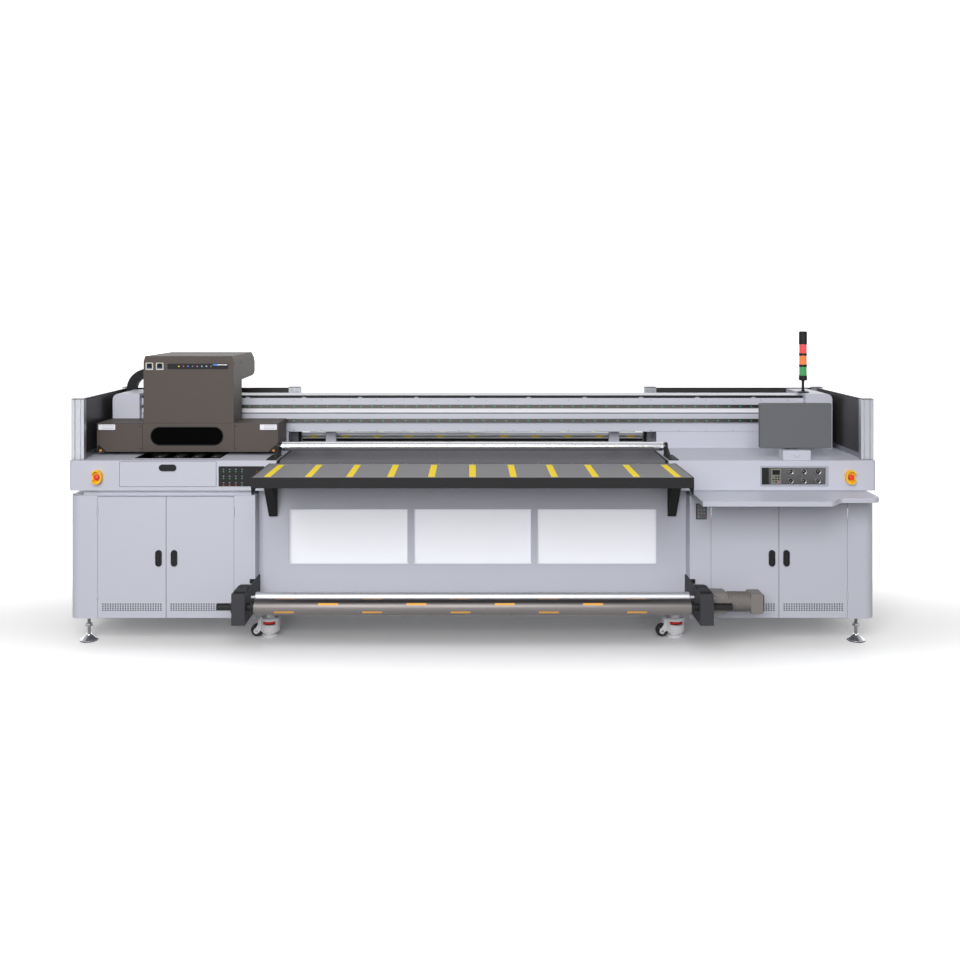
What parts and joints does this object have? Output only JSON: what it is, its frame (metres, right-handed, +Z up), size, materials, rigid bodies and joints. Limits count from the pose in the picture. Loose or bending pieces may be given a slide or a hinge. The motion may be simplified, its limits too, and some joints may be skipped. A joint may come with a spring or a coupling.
{
  "type": "hybrid flatbed uv printer",
  "caption": "Wide belt flatbed ultraviolet printer with roll winding: a print carriage on a beam between two cabinets.",
  "frame": {"origin": "on the floor under the middle of the machine", "axes": "+X to the right of the operator, +Y to the back, +Z up"},
  "size_m": [5, 2.194, 1.937],
  "materials": {
    "anodised": "clear anodised",
    "belt_rubber": "fine woven top",
    "black_paint": "matt powder coat",
    "black_plastic": "moulded",
    "bright_steel": "brushed",
    "brown_paint": "fine textured powder coat",
    "castor_white": "gloss enamel",
    "charcoal_paint": "matt powder coat",
    "chrome": "polished",
    "grey_shell": "brushed grey shell",
    "lens_plastic": "translucent",
    "light_paint": "satin powder coat",
    "red_plastic": "moulded",
    "shade_paint": "satin powder coat",
    "tinted_panel": "smoke tinted acrylic",
    "tube": "smooth sleeve",
    "tyre": "matt",
    "white_belt": "polyurethane",
    "white_plastic": "moulded",
    "yellow_plastic": "moulded"
  },
  "bodies": {
    "machine": {"base_frame": "shade_paint", "left_cabinet_shell": "light_paint", "right_cabinet_shell": "light_paint", "left_deck_shell": "light_paint", "right_deck_shell": "light_paint", "centre_panels": "light_paint", "door_hinges": "bright_steel", "control_panels": "black_plastic", "regulator_panel": "shade_paint", "operator_shelf": "light_paint", "monitor_stand": "light_paint", "stack_light_body": "black_plastic", "stack_light_lenses": "lens_plastic", "estop_guards": "yellow_plastic", "guard_posts": "anodised", "guard_panels": "tinted_panel", "gantry_beam": "light_paint", "beam_end_covers": "light_paint", "linear_rails": "charcoal_paint", "drive_belt": "white_belt", "chain_tray": "shade_paint", "chain_lower_run": "black_plastic", "capping_station": "black_plastic", "belt_platform": "anodised", "transport_belt": "belt_rubber", "media_tables": "charcoal_paint", "table_brackets": "charcoal_paint", "roller_brackets": "black_paint", "takeup_brackets": "charcoal_paint", "takeup_motor": "brown_paint", "levelling_feet": "chrome", "cabinet_equipment": "white_plastic"},
    "left_outer_door": {"left_outer_door": "light_paint"},
    "left_inner_door": {"left_inner_door": "light_paint"},
    "right_inner_door": {"right_inner_door": "light_paint"},
    "right_outer_door": {"right_outer_door": "light_paint"},
    "drawer": {"service_drawer": "light_paint"},
    "monitor": {"monitor_housing": "grey_shell"},
    "left_stop": {"left_estop_button": "red_plastic"},
    "right_stop": {"right_estop_button": "red_plastic"},
    "carriage": {"carriage_saddle": "anodised", "head_cover": "brown_paint", "chain_upper_run": "black_plastic"},
    "heads": {"print_heads": "black_paint"},
    "chain": {"chain_bend": "black_plastic"},
    "front_drum": {"front_drum": "anodised"},
    "rear_drum": {"rear_drum": "anodised"},
    "tension_roller": {"tension_roller": "chrome"},
    "feed_roller": {"rear_feed_roller": "anodised"},
    "takeup": {"takeup_shaft": "tube"},
    "guide_roller": {"takeup_guide_roller": "anodised"},
    "unwind": {"unwind_shaft": "tube"},
    "castor_1": {"castor_body_1": "castor_white"},
    "wheel_1": {"castor_wheel_1": "tyre"},
    "castor_2": {"castor_body_2": "castor_white"},
    "wheel_2": {"castor_wheel_2": "tyre"},
    "castor_3": {"castor_body_3": "castor_white"},
    "wheel_3": {"castor_wheel_3": "tyre"},
    "castor_4": {"castor_body_4": "castor_white"},
    "wheel_4": {"castor_wheel_4": "tyre"}
  },
  "joints": [
    {"name": "left_outer_door_hinge", "type": "hinge", "parent": "machine", "child": "left_outer_door", "pos_m": [-2.323, -0.49, 0.55], "axis": [0, 0, -1], "range_deg": [0, 110]},
    {"name": "left_inner_door_hinge", "type": "hinge", "parent": "machine", "child": "left_inner_door", "pos_m": [-1.477, -0.49, 0.55], "axis": [0, 0, 1], "range_deg": [0, 75]},
    {"name": "right_inner_door_hinge", "type": "hinge", "parent": "machine", "child": "right_inner_door", "pos_m": [1.477, -0.49, 0.55], "axis": [0, 0, -1], "range_deg": [0, 24]},
    {"name": "right_outer_door_hinge", "type": "hinge", "parent": "machine", "child": "right_outer_door", "pos_m": [2.323, -0.49, 0.55], "axis": [0, 0, 1], "range_deg": [0, 110]},
    {"name": "drawer_slide", "type": "slide", "parent": "machine", "child": "drawer", "axis": [0, -1, 0], "range_m": [0, 0.35]},
    {"name": "monitor_tilt", "type": "hinge", "parent": "machine", "child": "monitor", "pos_m": [2.012, -0.385, 1.245], "axis": [-1, 0, 0], "range_deg": [-5, 15]},
    {"name": "left_stop_press", "type": "slide", "parent": "machine", "child": "left_stop", "axis": [0, 1, 0], "range_m": [0, 0.005], "stiffness_N_per_m": 1500},
    {"name": "right_stop_press", "type": "slide", "parent": "machine", "child": "right_stop", "axis": [0, 1, 0], "range_m": [0, 0.005], "stiffness_N_per_m": 1500},
    {"name": "carriage_slide", "type": "slide", "parent": "machine", "child": "carriage", "axis": [1, 0, 0], "range_m": [0, 3.6]},
    {"name": "head_lift", "type": "slide", "parent": "carriage", "child": "heads", "axis": [0, 0, 1], "range_m": [0, 0.06]},
    {"name": "chain_travel", "type": "slide", "parent": "carriage", "child": "chain", "axis": [1, 0, 0], "range_m": [-1.8, 0], "deforming": ["chain_upper_run", "chain_lower_run"]},
    {"name": "front_drum_spin", "type": "hinge", "parent": "machine", "child": "front_drum", "pos_m": [0, -0.43, 1.098], "axis": [1, 0, 0], "continuous": true},
    {"name": "rear_drum_spin", "type": "hinge", "parent": "machine", "child": "rear_drum", "pos_m": [0, 0.43, 1.098], "axis": [1, 0, 0], "continuous": true},
    {"name": "tension_roller_spin", "type": "hinge", "parent": "machine", "child": "tension_roller", "pos_m": [0, -0.322, 1.216], "axis": [1, 0, 0], "continuous": true},
    {"name": "feed_roller_spin", "type": "hinge", "parent": "machine", "child": "feed_roller", "pos_m": [0, 0.38, 1.201], "axis": [1, 0, 0], "continuous": true},
    {"name": "takeup_spin", "type": "hinge", "parent": "machine", "child": "takeup", "pos_m": [0, -0.76, 0.325], "axis": [1, 0, 0], "continuous": true},
    {"name": "guide_roller_spin", "type": "hinge", "parent": "machine", "child": "guide_roller", "pos_m": [0, -0.647, 0.351], "axis": [1, 0, 0], "continuous": true},
    {"name": "unwind_spin", "type": "hinge", "parent": "machine", "child": "unwind", "pos_m": [0, 0.76, 0.325], "axis": [1, 0, 0], "continuous": true},
    {"name": "castor_1_swivel", "type": "hinge", "parent": "machine", "child": "castor_1", "pos_m": [-1.29, -0.298, 0.1], "axis": [0, 0, 1], "continuous": true},
    {"name": "wheel_1_roll", "type": "hinge", "parent": "castor_1", "child": "wheel_1", "pos_m": [-1.372, -0.298, 0.043], "axis": [0, 1, 0], "continuous": true},
    {"name": "castor_2_swivel", "type": "hinge", "parent": "machine", "child": "castor_2", "pos_m": [1.29, -0.298, 0.1], "axis": [0, 0, 1], "continuous": true},
    {"name": "wheel_2_roll", "type": "hinge", "parent": "castor_2", "child": "wheel_2", "pos_m": [1.208, -0.298, 0.043], "axis": [0, 1, 0], "continuous": true},
    {"name": "castor_3_swivel", "type": "hinge", "parent": "machine", "child": "castor_3", "pos_m": [-1.29, 0.298, 0.1], "axis": [0, 0, 1], "continuous": true},
    {"name": "wheel_3_roll", "type": "hinge", "parent": "castor_3", "child": "wheel_3", "pos_m": [-1.372, 0.298, 0.043], "axis": [0, 1, 0], "continuous": true},
    {"name": "castor_4_swivel", "type": "hinge", "parent": "machine", "child": "castor_4", "pos_m": [1.29, 0.298, 0.1], "axis": [0, 0, 1], "continuous": true},
    {"name": "wheel_4_roll", "type": "hinge", "parent": "castor_4", "child": "wheel_4", "pos_m": [1.208, 0.298, 0.043], "axis": [0, 1, 0], "continuous": true}
  ],
  "couplings": [
    {"joint": "chain_travel", "follows": "carriage_slide", "ratio": -0.5},
    {"joint": "rear_drum_spin", "follows": "front_drum_spin", "ratio": 1}
  ]
}
